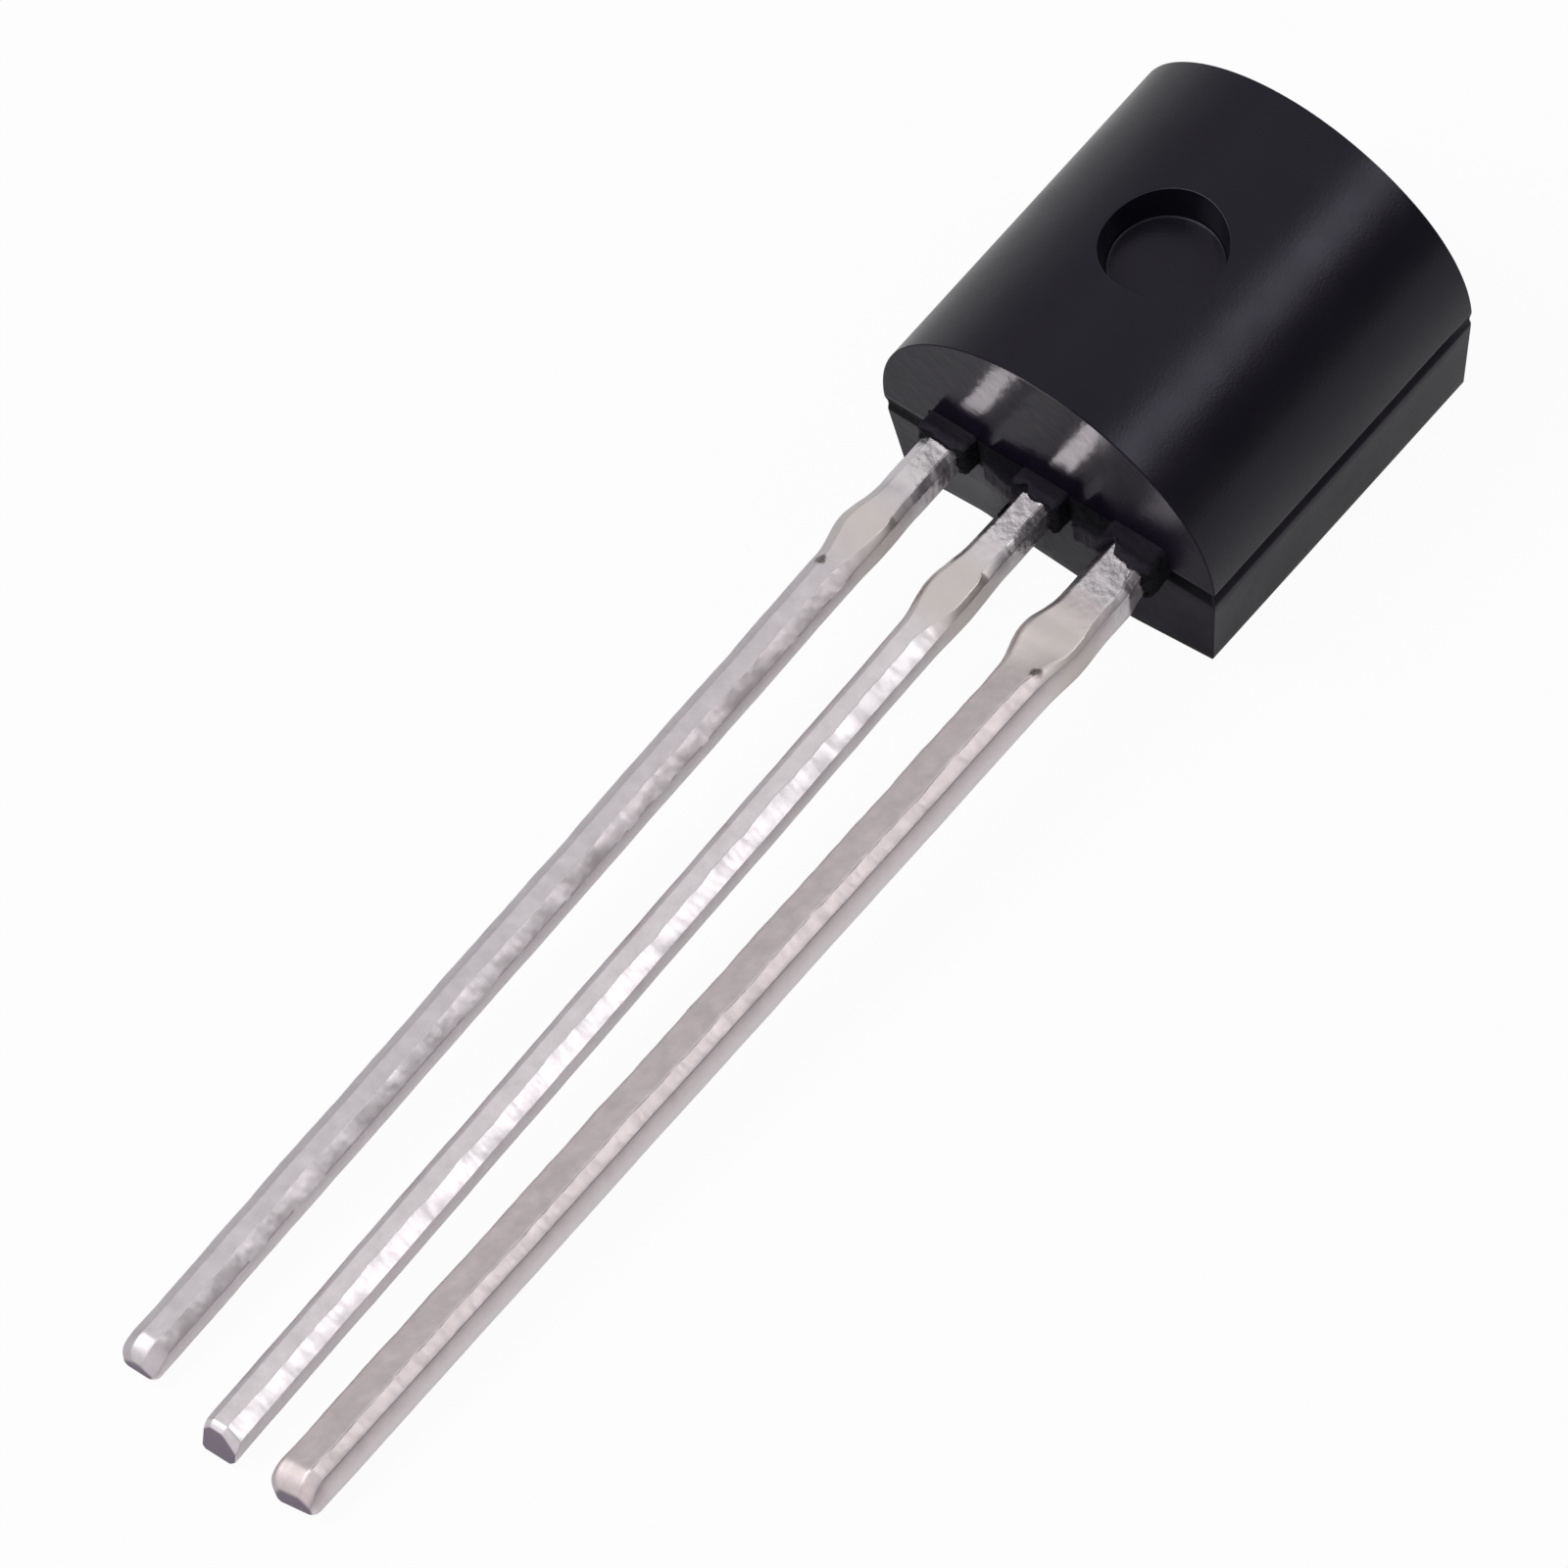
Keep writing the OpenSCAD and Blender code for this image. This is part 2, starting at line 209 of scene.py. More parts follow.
def back_point(angle, inset):
    """The point (y, z) whose surface faces the angle: the arc's centre plus
    its radius, less the inset, times (cos a, sin a)."""
    crown = angle > np.pi / 2 - CROWN_HALF
    cy, cz, r = (0, CROWN_Z, CROWN_RADIUS) if crown else (SIDE_Y, SIDE_Z,
                                                          SIDE_RADIUS)
    return cy + (r - inset) * np.cos(angle), cz + (r - inset) * np.sin(angle)


def side_profile():
    """The body's plan on one side as (x, inset from the outline): a quarter
    round x = r - r cos a, inset = r - r sin a, a straight run and the same
    quarter round turned back."""
    a = np.linspace(0, np.pi / 2, 5)
    start = np.stack([EDGE - EDGE * np.cos(a), EDGE - EDGE * np.sin(a)], 1)
    run = np.concatenate([[EDGE + GUARD],
                          np.linspace(EDGE, LENGTH - EDGE, SIDE_STEPS - 1)[1:-1],
                          [LENGTH - EDGE - GUARD]])
    middle = np.stack([run, np.zeros_like(run)], 1)
    end = start[::-1] * [-1, 1] + [LENGTH, 0]
    lead_in = np.array([[0, EDGE + BORDER]])
    lead_out = np.array([[LENGTH, EDGE + BORDER]])
    return np.concatenate([lead_in, start, middle, end, lead_out])


def loop(right_plan, left_plan, z):
    """One closed loop: right side, far end, left side, near end.  The plans
    hold x and the distance from the middle; the ends are straight lines."""
    t = np.linspace(0, 1, CAP_STEPS + 1)[1:-1]
    right = np.stack([right_plan[0], -right_plan[1], z], -1)
    left = np.stack([left_plan[0], left_plan[1], z], -1)[::-1]

    def across(a, b):
        return a + (b - a) * t[:, None]
    return np.concatenate([right, across(right[-1], left[0]), left,
                           across(left[-1], right[0])])


PLAN = side_profile()
VALLEY = np.array([0, 0.2, 0.4, 0.6, 0.8])


def draw_in(x, y, t):
    """The valley at a share t of its half width: the plan moves in by the
    depth times (1 + cos pi t) / 2.  The right depth falls from GROOVE to
    GROOVE_FAR towards the far end; the left one is GROOVE_FAR throughout."""
    share = (1 + np.cos(np.pi * t)) / 2
    fade = smooth_step((x - LENGTH + FADE_START) / FADE_RUN)
    far = LENGTH - GROOVE_FAR * share
    right = (np.clip(x, GROOVE * share, far),
             y - share * (GROOVE + (GROOVE_FAR - GROOVE) * fade))
    return right, (np.clip(x, GROOVE_FAR * share, far), y - share * GROOVE_FAR)


print("points round the body:", 2 * len(PLAN) + 2 * CAP_STEPS - 2)

# %% [markdown]
# The back is turned from level to level rather than lofted from a few
# sections, because the crown and the side arcs meet without a kink only when
# each row is the set of points whose surface faces one angle.

# %% The rounded half
lip_angle = np.arcsin((LIP - SIDE_Z) / SIDE_RADIUS)
angles = np.linspace(lip_angle, np.pi / 2, LEVELS + 1)


def back_loop(angle, t=1.0):
    """The side profile carried to where the back faces the angle."""
    x, inset = PLAN.T
    y, z = back_point(angle, inset)
    return loop(*draw_in(x, y, t), z)


round_rows = np.stack(
    [back_loop(np.arcsin((LIP * t - SIDE_Z) / SIDE_RADIUS), t) for t in VALLEY]
    + [back_loop(a) for a in angles])
round_rows[0, :, 2] = 0

# %% [markdown]
# The flat half is a tray: its ends lean in by their draft, the far one more,
# and its near lower edge isn't straight, because the mould has worn there.

# %% The flat half
EDGE_Y = [-2.1, -1.05, -0.3, 0.4, 1.1, 1.6, 2.1]
EDGE_X = [-0.02, -0.105, -0.015, 0.015, 0.07, 0.045, 0.0]
EDGE_RUN = 0.3


def tray_loop(z, inset=0.0, t=1.0):
    """The plan shrunk by the draft at this depth, plus an inset where the
    foot is rounded."""
    x, edge = PLAN.T
    near = -z * np.tan(END_DRAFT) + inset
    far = -z * np.tan(FAR_DRAFT) + inset
    half = HALF + z / FLAT_DEPTH * (HALF - FLAT_WIDTH / 2) - inset
    x = near + x / LENGTH * (LENGTH - near - far)
    return loop(*draw_in(x, half - edge, t), np.full_like(x, z))


def uneven_edge(p):
    """Moves the near bottom edge along x by a line through the points
    (EDGE_Y, EDGE_X), and keeps it off the floor on which the part rests; the
    move fades up the end face and into the body."""
    share = np.clip(1 - p[..., 0] / EDGE_RUN, 0, 1) * np.clip(
        (-p[..., 2] - LIP) / (FLAT_DEPTH - LIP), 0, 1)
    move = share * np.interp(p[..., 1], EDGE_Y, EDGE_X)
    return p + move[..., None] * [1, 0, -np.tan(REST_TILT)]


foot = np.linspace(0, np.pi / 2, FOOT_STEPS)[1:]
depths = np.concatenate([np.linspace(-LIP, -FLAT_DEPTH + EDGE, DEPTH_STEPS),
                         -FLAT_DEPTH + EDGE * (1 - np.sin(foot))])
insets = np.concatenate([np.zeros(DEPTH_STEPS), EDGE * (1 - np.cos(foot))])
flat_rows = uneven_edge(np.stack(
    [round_rows[0]] + [tray_loop(-LIP * t, t=t) for t in VALLEY[1:]]
    + [tray_loop(z, i) for z, i in zip(depths, insets)]
    + [tray_loop(-FLAT_DEPTH, EDGE + FOOT_BORDER)]))
side_count = len(PLAN)
rim = flat_rows[-1]
right_rim = rim[:side_count]
left_rim = rim[side_count + CAP_STEPS - 1:2 * side_count + CAP_STEPS - 1][::-1]
cross = np.linspace(0, 1, CAP_STEPS + 1)[None, :, None]
flat_face = uneven_edge(
    right_rim[:, None] + (left_rim - right_rim)[:, None] * cross)
print("flat", np.ptp(flat_face[..., 0]).round(3), "x",
      np.ptp(flat_face[..., 1]).round(3), "mm")

# %% [markdown]
# ## The ejector pin's mark
# A pin pushes the finished body out of the mould and leaves a round pocket
# with a flat floor in the rounded back.  A square of the back's grid is left
# out; rings of points run from the square's border to a circle, over a soft
# lip, down the tapered wall, round the foot and across the floor to a point.

# %% Cut the square out of the back
MARK_RADIUS, MARK_FLOOR, MARK_TAPER = 0.715, BACK - 0.46, 0.06
MARK_LIP, MARK_FOOT = 0.012, 0.025
LIP_LEVEL, WALL_LEVEL, FOOT_LEVEL = 0.02, 0.92, 0.06
SQUARE_HALF = 0.95
col_a = int(np.searchsorted(PLAN[:, 0], LENGTH / 2 - SQUARE_HALF))
col_b = side_count - 1 - col_a
row_a = len(VALLEY) + int(np.searchsorted(angles,
                                          np.arccos(SQUARE_HALF / CROWN_RADIUS)))
columns = round_rows.shape[1]
mirror_col = 2 * side_count + CAP_STEPS - 2
row_ids = np.arange(round_rows.shape[0] - 1)[:, None]
col_ids = np.arange(columns)[None, :]
left_col = mirror_col - col_ids
inside = (row_ids >= row_a) & (
    ((col_ids >= col_a) & (col_ids < col_b)) |
    ((left_col > col_a) & (left_col <= col_b)))
round_faces = grid_faces(*round_rows.shape[:2], wrap=True)[~inside.ravel()]

# %% The pocket
along_x = np.arange(col_a, col_b + 1)
up = np.arange(row_a, len(round_rows))
border = np.concatenate([
    round_rows[row_a, along_x],
    round_rows[up, col_b][1:],
    round_rows[up[::-1], mirror_col - col_b][1:],
    round_rows[row_a, mirror_col - along_x[::-1]][1:],
    round_rows[up, mirror_col - col_a][1:],
    round_rows[up[::-1], col_a][1:-1]])
turn = np.arctan2(border[:, 1], border[:, 0] - LENGTH / 2)


def on_back(radius):
    """Points of the back straight above a circle, on the crown's arc."""
    x = LENGTH / 2 + radius * np.cos(turn)
    y = radius * np.sin(turn)
    return np.stack([x, y, CROWN_Z + np.sqrt(CROWN_RADIUS ** 2 - y ** 2)], -1)


def blend_ring(t):
    """From the square border to the lip circle, kept on the back."""
    p = border + (on_back(MARK_RADIUS + MARK_LIP) - border) * t
    p[:, 2] = CROWN_Z + np.sqrt(CROWN_RADIUS ** 2 - p[:, 1] ** 2)
    return p


def pocket_ring(radius, level):
    """A ring of the pocket; level runs from 0 at the back to 1 at the floor."""
    p = on_back(radius)
    p[:, 2] += (MARK_FLOOR - p[:, 2]) * level
    return p


soft = np.linspace(0, np.pi / 2, 6)[1:]
lip_rings = [pocket_ring(MARK_RADIUS + MARK_LIP * (1 - np.sin(a)),
                         LIP_LEVEL * (1 - np.cos(a))) for a in soft]
wall_rings = [pocket_ring(MARK_RADIUS - MARK_TAPER * t,
                          LIP_LEVEL + WALL_LEVEL * t)
              for t in np.linspace(0, 1, 7)[1:]]
foot_rings = [pocket_ring(MARK_RADIUS - MARK_TAPER - MARK_FOOT * (1 - np.cos(a)),
                          1 - FOOT_LEVEL + FOOT_LEVEL * np.sin(a)) for a in soft]
floor_rings = [pocket_ring(r, 1.0) for r in (0.6, 0.5, 0.35, 0.2, 0.1, 0.0)]
pocket = np.stack([border] + [blend_ring(t) for t in np.linspace(0, 1, 9)[1:]]
                  + lip_rings + wall_rings + foot_rings + floor_rings)
print("pocket floor", MARK_FLOOR, "mm above the parting plane")

# %% [markdown]
# ## Plastic at the lead exits
# The mould closes on the lead frame, and the gap between the leads fills with
# a web of plastic that is punched away afterwards.  What stays is a low broken
# web and a small collar round each lead.  They are tubes: a rounded outline
# carried along x, with its size and end wandering a little, as broken plastic
# does.  NICK is the place across the first two collars where a chip is missing.

# %% Rounded outlines and wandering values
PITCH, SHEET = 1.27, 0.38
LEAD_WIDTH = {1: 0.59, 2: 0.52, 3: 0.52}
LEAD_THICK = {1: 0.46, 2: SHEET, 3: SHEET}
COLLAR = {1: 0.39, 2: 0.29, 3: 0.29}
COLLAR_SIDE, COLLAR_ROOM, WEB_HEIGHT = 0.06, 0.05, 0.22
COLLAR_ROUND, COLLAR_FALL = 0.06, 0.045
NICK, NICK_WIDTH, NICK_DEPTH = {1: 0.19, 2: 0.15}, 0.06, 0.42


def wander(x, seed, scale=1.0):
    """A sum of four sines with seeded phases, about -1 to 1."""
    rng = np.random.default_rng(seed)
    pace = np.array([1.0, 2.3, 4.1, 7.9]) * scale
    phase = rng.uniform(0, 2 * np.pi, 4)
    height = np.array([0.5, 0.3, 0.2, 0.12])
    x = np.asarray(x, float)[..., None]
    return (height * np.sin(x * pace + phase)).sum(-1)


def outline(left, right, bottom, top, wide, drop, r_bottom, bevel=0.0,
            share=1.0, along=(0.07, 0.3, 0.7, 0.93)):
    """A rectangle as (y, z) for arrays of sizes at once.  Its upper corners
    are quarter ellipses, wide across and falling by drop; the bevel flattens
    them, by 1 / (cos a + sin a) ^ bevel, to a straight cut at 1.  The left one
    takes a share of the right one's size.  Each side has the given points."""
    left, right, bottom, top, wide, drop, r_bottom, share = np.broadcast_arrays(
        *[np.asarray(v, float)[..., None] for v in
          (left, right, bottom, top, wide, drop, r_bottom, share)])
    a = np.pi / 2 * np.array([0, 0.06, 0.3, 0.7, 0.94, 1])
    cut = (np.cos(a) + np.sin(a)) ** -bevel
    centres = [(left - share * wide, top - share * drop, share * wide,
                share * drop, 0.0),
               (-right + wide, top - drop, wide, drop, np.pi / 2),
               (-right + r_bottom, bottom + r_bottom, r_bottom, r_bottom, np.pi),
               (left - r_bottom, bottom + r_bottom, r_bottom, r_bottom,
                1.5 * np.pi)]
    arcs = [np.stack([cy + ry * cut * np.cos(a + s),
                      cz + rz * cut * np.sin(a + s)], -1)
            for cy, cz, ry, rz, s in centres]
    t = np.array(along)[:, None]
    parts = []
    for k in range(4):
        a0, a1 = arcs[k][..., -1:, :], arcs[(k + 1) % 4][..., :1, :]
        parts += [arcs[k], a0 + (a1 - a0) * t]
    return np.concatenate(parts, -2)


# %% Collars and web
WEB_PAST, WEB_STEPS = 0.03, 240
GAP_PAST, GAP_HALF, GAP_RUN, GAP_DEPTH = 0.06, 0.16, 0.07, 0.88


def collar(number):
    """A block round one lead: its outline shrinks to a soft end, which leans,
    wanders and may have a nick that bares the lead's left edge."""
    half = LEAD_WIDTH[number] / 2 + COLLAR_SIDE
    low = (SHEET - LEAD_THICK[number]) / 2 - COLLAR_ROOM
    t = np.concatenate([[-0.9, -0.2], np.linspace(0, 0.8, 9),
                        [0.87, 0.93, 0.97, 1.0]])
    pinch = np.concatenate([np.zeros(10), [0.003, 0.008, 0.018, 0.03, 0.05]])
    x = -COLLAR[number] * t
    w = 0.012 * wander(x * 9, 10 + number) * (t > 0)
    ring = outline(half - pinch + w, half - pinch - w, low + pinch,
                   SHEET - low - pinch, COLLAR_ROUND, COLLAR_FALL, COLLAR_FALL,
                   along=np.linspace(0.04, 0.96, 20))
    y, z = ring[..., 0], ring[..., 1]
    shrink = 0.09 + 0.10 * wander(13 * y + 19 * z, 20 + number)
    if number in NICK:
        shrink = shrink + NICK_DEPTH * np.exp(-((y - NICK[number]) / NICK_WIDTH) ** 2)
    xx = x[:, None] * (1 - shrink * smooth_step(t)[:, None])
    z = z + (0.010 * wander(x * 17, 24 + number) * (t > 0))[:, None]
    return closed_tube(np.stack([xx, y + (number - 2) * PITCH, z], -1))


def web():
    """A bar across the exit face whose broken front is uneven, lower beside
    the third lead, and all but missing in a gap on the right of the second
    and the third collar.  Its section is a table of heights and of how far
    the front stands out at each."""
    half = PITCH + LEAD_WIDTH[2] / 2 + COLLAR_SIDE + WEB_PAST
    y = np.linspace(-half, half, WEB_STEPS)
    lower = 1.22 - 0.12 * smooth_step(-y / PITCH) - 0.55 * smooth_step(y / PITCH)
    outside = 1 - 0.92 * smooth_step((abs(y) - PITCH - 0.1) / 0.2)
    front = -WEB_HEIGHT * lower * outside * (
        1 + 0.06 * wander(y * 5, 3) + 0.03 * wander(y * 21, 4))
    for beside in (PITCH, 0.0):
        gap = beside - LEAD_WIDTH[2] / 2 - COLLAR_SIDE - GAP_PAST
        front *= 1 - GAP_DEPTH * smooth_step((GAP_HALF - abs(y - gap)) / GAP_RUN)
    z = np.array([0.0, 0.0, 0.02, 0.05, 0.12, 0.2, 0.28, 0.34, 0.37, 0.38,
                  0.38, 0.38])
    depth = np.array([0.0, 0.8, 0.92, 0.98, 1, 0.97, 0.98, 1.0, 0.95, 0.85,
                      0.4, 0.0])
    shape = depth[None, :] * front[:, None]
    shape[:, [0, -1]] = 0.2
    yy = np.broadcast_to(y[:, None], shape.shape)
    zz = np.broadcast_to(z[None, :], shape.shape) + 0.004 * wander(y * 8, 5)[:, None]
    return closed_tube(np.stack([shape, yy, zz], -1))


collars = [collar(n) for n in (1, 2, 3)]
web_grid = web()
print("collar height", round(-float(collars[1][0][..., 0].min()), 3), "mm")

# %% [markdown]
# The body is one moulding, so it is one mesh; only its finish changes from
# place to place.  Four slots carry the finishes, and each face takes its slot
# from where its middle lies: the end face is glossier than the sides, and the
# web, the collars and the parting line are rough.  Their broken plastic comes
# in a lit and a shaded copy: the near-black one is painted shade on the
# collars' sides, the web's top and gaps and the valley across the end face.

# %% Join the body's grids
# Slot 2 is broken plastic whose near-black colour is painted shade, on the collars'
# sides, the web's top and gaps and the valley across the end face; slot 3 is its
# lighter, lit copy, and also the rough finish of the valley and the narrow rounds.
SATIN, POLISHED, PAINTED_SHADE, WEB = 0, 1, 2, 3
END_FACE, END_TOP = 0.035, 2.2
COLLAR_TOP, FRONT_TOP, FRONT_X = SHEET + 0.025, 0.355, -0.08
body_grids = [(round_rows, round_faces),
              (flat_rows, grid_faces(*flat_rows.shape[:2], wrap=True)),
              (flat_face, grid_faces(*flat_face.shape[:2])),
              (pocket, grid_faces(*pocket.shape[:2], wrap=True)),
              web_grid] + collars


def middles(grid):
    """The middle point of each face, as columns x, y and z."""
    return grid[0].reshape(-1, 3)[grid[1]].mean(1).T


def face_zone(grid):
    """POLISHED for the faces on the lead-exit end, SATIN for the rest."""
    x, _, z = middles(grid)
    return np.where((x < END_FACE) & (z < END_TOP), POLISHED, SATIN)


def top_zone(grid):
    """WEB, the lighter lit copy, for faces on the upper side of a collar, and
    the near-black copy of painted shade elsewhere.
    """
    return np.where(middles(grid)[2] > COLLAR_TOP, WEB, PAINTED_SHADE)


def front_zone(grid):
    """WEB, the lighter lit copy, for the web's front, and the near-black copy
    of painted shade for its top and its gaps.
    """
    x, _, z = middles(grid)
    return np.where((z < FRONT_TOP) & (x < FRONT_X), WEB, PAINTED_SHADE)


def groove_zone(grid, kept=slice(None)):
    """The end zone, with WEB for the first rows of faces, the valley, the
    near-black copy of painted shade where it crosses the end face, and WEB
    for the narrow round between the end face and the sides.  Kept picks the
    faces that the grid still has."""
    zone = face_zone(grid)
    valley = columns * (len(VALLEY) - 1)
    zone[:valley] = np.where(np.arange(valley) % columns < mirror_col, WEB, PAINTED_SHADE)
    column = np.tile(np.arange(columns), len(grid[0]) - 1)[kept]
    from_side = np.minimum(column, mirror_col - 1 - column)
    zone[(from_side > 0) & (from_side < 5)] = WEB
    return zone


zones = [groove_zone(body_grids[0], ~inside.ravel()),
         groove_zone(body_grids[1]),
         face_zone(body_grids[2]), SATIN, front_zone(web_grid)] + [
             top_zone(g) for g in collars]
body = make_piece("moulded_body_shell", body_grids, "moulding_compound",
                  BODY_SHARP, zones=zones)
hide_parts("moulded_body")

# %% [markdown]
# ## The leads
# The leads are punched from sheet.  The punch leaves a worn bevel on their
# upper edges, wide on the right and smaller on the left, and a dark sheared
# face at the end.  Near the body each keeps the stub of the bar that held the
# frame together, pressed flat where the bar was cut.  A lead is one outline
# carried along its path: width, bevel, bend and twist are all functions of
# the distance from the body, because the sheet itself is one even strip.
#
# Lengths are in millimetres and angles in degrees:
#
# - length; splay, the turn to the right; twist; slant of the end
# - sides: the half widths, left and right
# - cut: the right bevel's width and fall; share: the left one's size
# - tie: the stub's middle and half length; far and near: how far it swells on
#   the left and on the right
# - tip: how far the outline draws in at the end; roll: the length and the fall
#   of the rounded end, and the part of it after which it is sheared
# - worn: how much the bevel grows there; edge: how dark the bevel's rim is
# - residue: a speck's distance along the lead and its place across

# %% Path and outline of a lead
TIE_AT = 1.55
LEADS = {
    1: dict(length=14.47, splay=-0.6, twist=-15.0, slant=0,
            sides=(0.280, 0.335), cut=(0.125, 0.125), share=0.85,
            tie=(1.55, 0.55), far=0.115, near=0.03,
            tip=0.1, roll=(0.30, 0.25, 0.94), worn=0.0, edge=1.0,
            residue=(2.02, -0.22)),
    2: dict(length=14.45, splay=0.59, twist=0.0, slant=14,
            sides=(0.216, 0.228), cut=(0.185, 0.11), share=0.45,
            tie=(1.68, 0.62), far=0.095, near=0.03,
            tip=0.045, roll=(0.12, 0.15, 0.75), worn=0.7, edge=0.15,
            residue=None),
    3: dict(length=14.13, splay=0.36, twist=0.0, slant=0,
            sides=(0.243, 0.238), cut=(0.165, 0.128), share=0.8,
            tie=(1.55, 0.55), far=0.085, near=0.02,
            tip=0.09, roll=(0.30, 0.24, 0.95), worn=0.0, edge=0.2,
            residue=(2.17, 0.12))}
DROOP = np.radians(1.54)
NEAR_STEP, FAR_STEP, FAR_FROM, TIP_RUN = 0.02, 0.04, 3.2, 0.3
SIDE_WANDER, CUT_WANDER, CUT_RIPPLE = 0.004, 0.10, 0.05
NECK, NECK_GROWTH, NECK_CUT = 0.25, 0.1, 0.06
TWIST_RUN, TIP_LIFT, TIP_DROP = 0.8, 0.25, 0.5
COIN_DEPTH, BURR, STRAIGHT = 0.006, 0.03, 0.9
SPECK_ALONG, SPECK_ACROSS = 0.09, 0.08


def lead_stations(length):
    """Distances from the body: close together at the stub and at the end."""
    near = np.arange(-0.5, FAR_FROM, NEAR_STEP)
    far = np.arange(FAR_FROM, length - TIP_RUN, FAR_STEP)
    tip = length - TIP_RUN + TIP_RUN * np.sin(np.linspace(0, np.pi / 2, 22))
    return np.concatenate([near, far, tip])


def stub(s, at, half):
    """How far the stub swells, 0 to 1: one turn of a cosine."""
    u = np.clip((s - at) / half, -1, 1)
    return (1 + np.cos(np.pi * u)) / 2


def coin(s, at, half, seed):
    """1 on the patch that the tie bar left flat, with uneven ends."""
    edge = 0.42 + 0.1 * wander(s, seed, 3.0)
    return smooth_step((s - at + half) / edge) * smooth_step(
        (at + half + 0.2 - s) / (1.7 * edge))


def lead_ring(k, number, s):
    """The outline (y, z) at each station s, and how far it is coined, sheared
    and rounded there.  The drawn-in tip and the rounded end follow quarter
    circles, 1 - sqrt(1 - t^2), of their own lengths.  The bevel is small on
    the coined patch and towards the body, and wanders elsewhere."""
    swell, coined = stub(s, *k["tie"]), coin(s, *k["tie"], 30 + number)
    left, right = [
        half + grow * swell + SIDE_WANDER * wander(s, seed + number, 2.0)
        for half, grow, seed in ((k["sides"][0], k["far"], 40),
                                 (k["sides"][1], k["near"], 50))]
    right = np.minimum(right, NECK + k["near"]
                       + NECK_GROWTH * smooth_step((s - 0.3) / 0.6))
    t = np.clip((s - k["length"] + k["tip"]) / k["tip"], 0, 1)
    end = k["tip"] * (1 - np.sqrt(1 - t ** 2))
    length, drop, dark_from = k["roll"]
    near_end = np.clip((s - k["length"] + length) / length, 0, 1)
    roll = drop * (1 - np.sqrt(1 - near_end ** 2))
    plain = np.maximum(coined, 0.75 * smooth_step((TIE_AT - s) / 0.3))
    wide, fall = [c - (c - NECK_CUT) * plain for c in k["cut"]]
    wide = wide * (1 + CUT_WANDER * wander(s, 60 + number, 2.0)
                   + CUT_RIPPLE * wander(s, 70 + number, 7.0))
    wide = np.minimum(wide * (1 + k["worn"] * near_end),
                      k["sides"][1] - end - 0.02)
    fall = fall * (1 + k["worn"] * near_end)
    share = k["share"] * k["cut"][0] * (1 - 0.1 * plain) / wide
    base = (SHEET - LEAD_THICK[number]) / 2
    bottom = base + end * TIP_LIFT
    top = base + LEAD_THICK[number] - end * TIP_DROP - roll - COIN_DEPTH * coined
    ring = outline(left - end, right - end, bottom, top, wide,
                   np.minimum(fall, 0.6 * (top - bottom)),
                   np.minimum(BURR, 0.3 * (top - bottom)),
                   bevel=STRAIGHT, share=share)
    sheared = smooth_step((near_end - dark_from) / 0.05)
    return ring, coined, sheared, smooth_step(near_end / 0.4)


def free_lead(number):
    """The outlines set along the path, twisted, bent sideways and drooped past
    the tie bar, with the values that the finish needs at each point."""
    k = LEADS[number]
    s = lead_stations(k["length"])
    ring, coined, sheared, soft = lead_ring(k, number, s)
    y, z = ring[..., 0], ring[..., 1] - SHEET / 2
    t = np.radians(k["twist"]) * smooth_step((s - TIE_AT) / TWIST_RUN)[:, None]
    past = np.maximum(s - TIE_AT, 0)[:, None]
    slope = np.tan(np.radians(k["slant"])) * smooth_step(
        (s - k["length"] + TIP_RUN) / TIP_RUN)[:, None]
    x = -s[:, None] + (z + SHEET / 2) * slope
    yy = (number - 2) * PITCH + y * np.cos(t) - z * np.sin(t)
    zz = SHEET / 2 + y * np.sin(t) + z * np.cos(t)
    yy = yy - np.tan(np.radians(k["splay"])) * past
    zz = zz - np.tan(DROOP) * past
    speck = np.zeros_like(yy)
    if k["residue"]:
        at, across = k["residue"]
        speck = np.exp(-((s[:, None] - at) / SPECK_ALONG) ** 2
                       - ((y - across) / SPECK_ACROSS) ** 2)
    values = dict(station=s[:, None], coined=coined[:, None],
                  sheared=sheared[:, None], soft=soft[:, None], residue=speck)
    return (np.stack([x, yy, zz], -1),
            {layer: v + 0 * yy for layer, v in values.items()})


# %% [markdown]
# Some values belong to a face of the lead for its whole length, such as the
# quilting of the right bevel and the darker tin that the punch left on both.
# The outline's 40 columns run from the left bevel (0 to 5) over the top to the
# right bevel (10 to 15), down the right side (16 to 19), round the lower right
# corner (20 to 25), along the bottom and up the left side.

# %% Columns of the outline
RIGHT_BEVEL, LEFT_BEVEL, BEVEL_RIM, RIGHT_SIDE = np.zeros((4, 40))
RIGHT_BEVEL[11:21] = 1
LEFT_BEVEL[1:5] = 0.3
BEVEL_RIM[13:18] = 0.05, 0.3, 0.4, 0.35, 0.1
RIGHT_SIDE[17:20] = 0.2, 0.8, 1.0
RIGHT_SIDE[20:26] = 1.0


# %% [markdown]
# ## Inside the plastic
# The lead goes on inside the body: two wings that lock it, then the pad that
# carries the die or a post for a bond wire.  They are cut from one sheet, so
# each is a flat outline carried through its thickness.

# %% Plates inside the body
STEM_X, WING_X, WING = (0.4, 1.4), (0.45, 0.75), 0.15
PAD_X, PAD_HALF = (1.35, 3.15), 0.65
POST_X, POST_HALF = (1.35, 2.7), 0.4
POST_HOLE_AT, POST_HOLE = (1.755, 1.32), 0.18


def plate(outline_xy):
    """An outline in x and y, carried from the sheet's lower face to its upper
    face and closed at both ends."""
    p = np.asarray(outline_xy, float)
    z = np.array([0, SHEET])[:, None]
    x = np.broadcast_to(p[:, 0], (2, len(p)))
    y = np.broadcast_to(p[:, 1], (2, len(p)))
    return closed_tube(np.stack([x, y, np.broadcast_to(z, x.shape)], -1))


def rectangle(x0, x1, y0, y1):
    """The corners of a plate whose sides follow the axes."""
    return [(x0, y0), (x1, y0), (x1, y1), (x0, y1)]


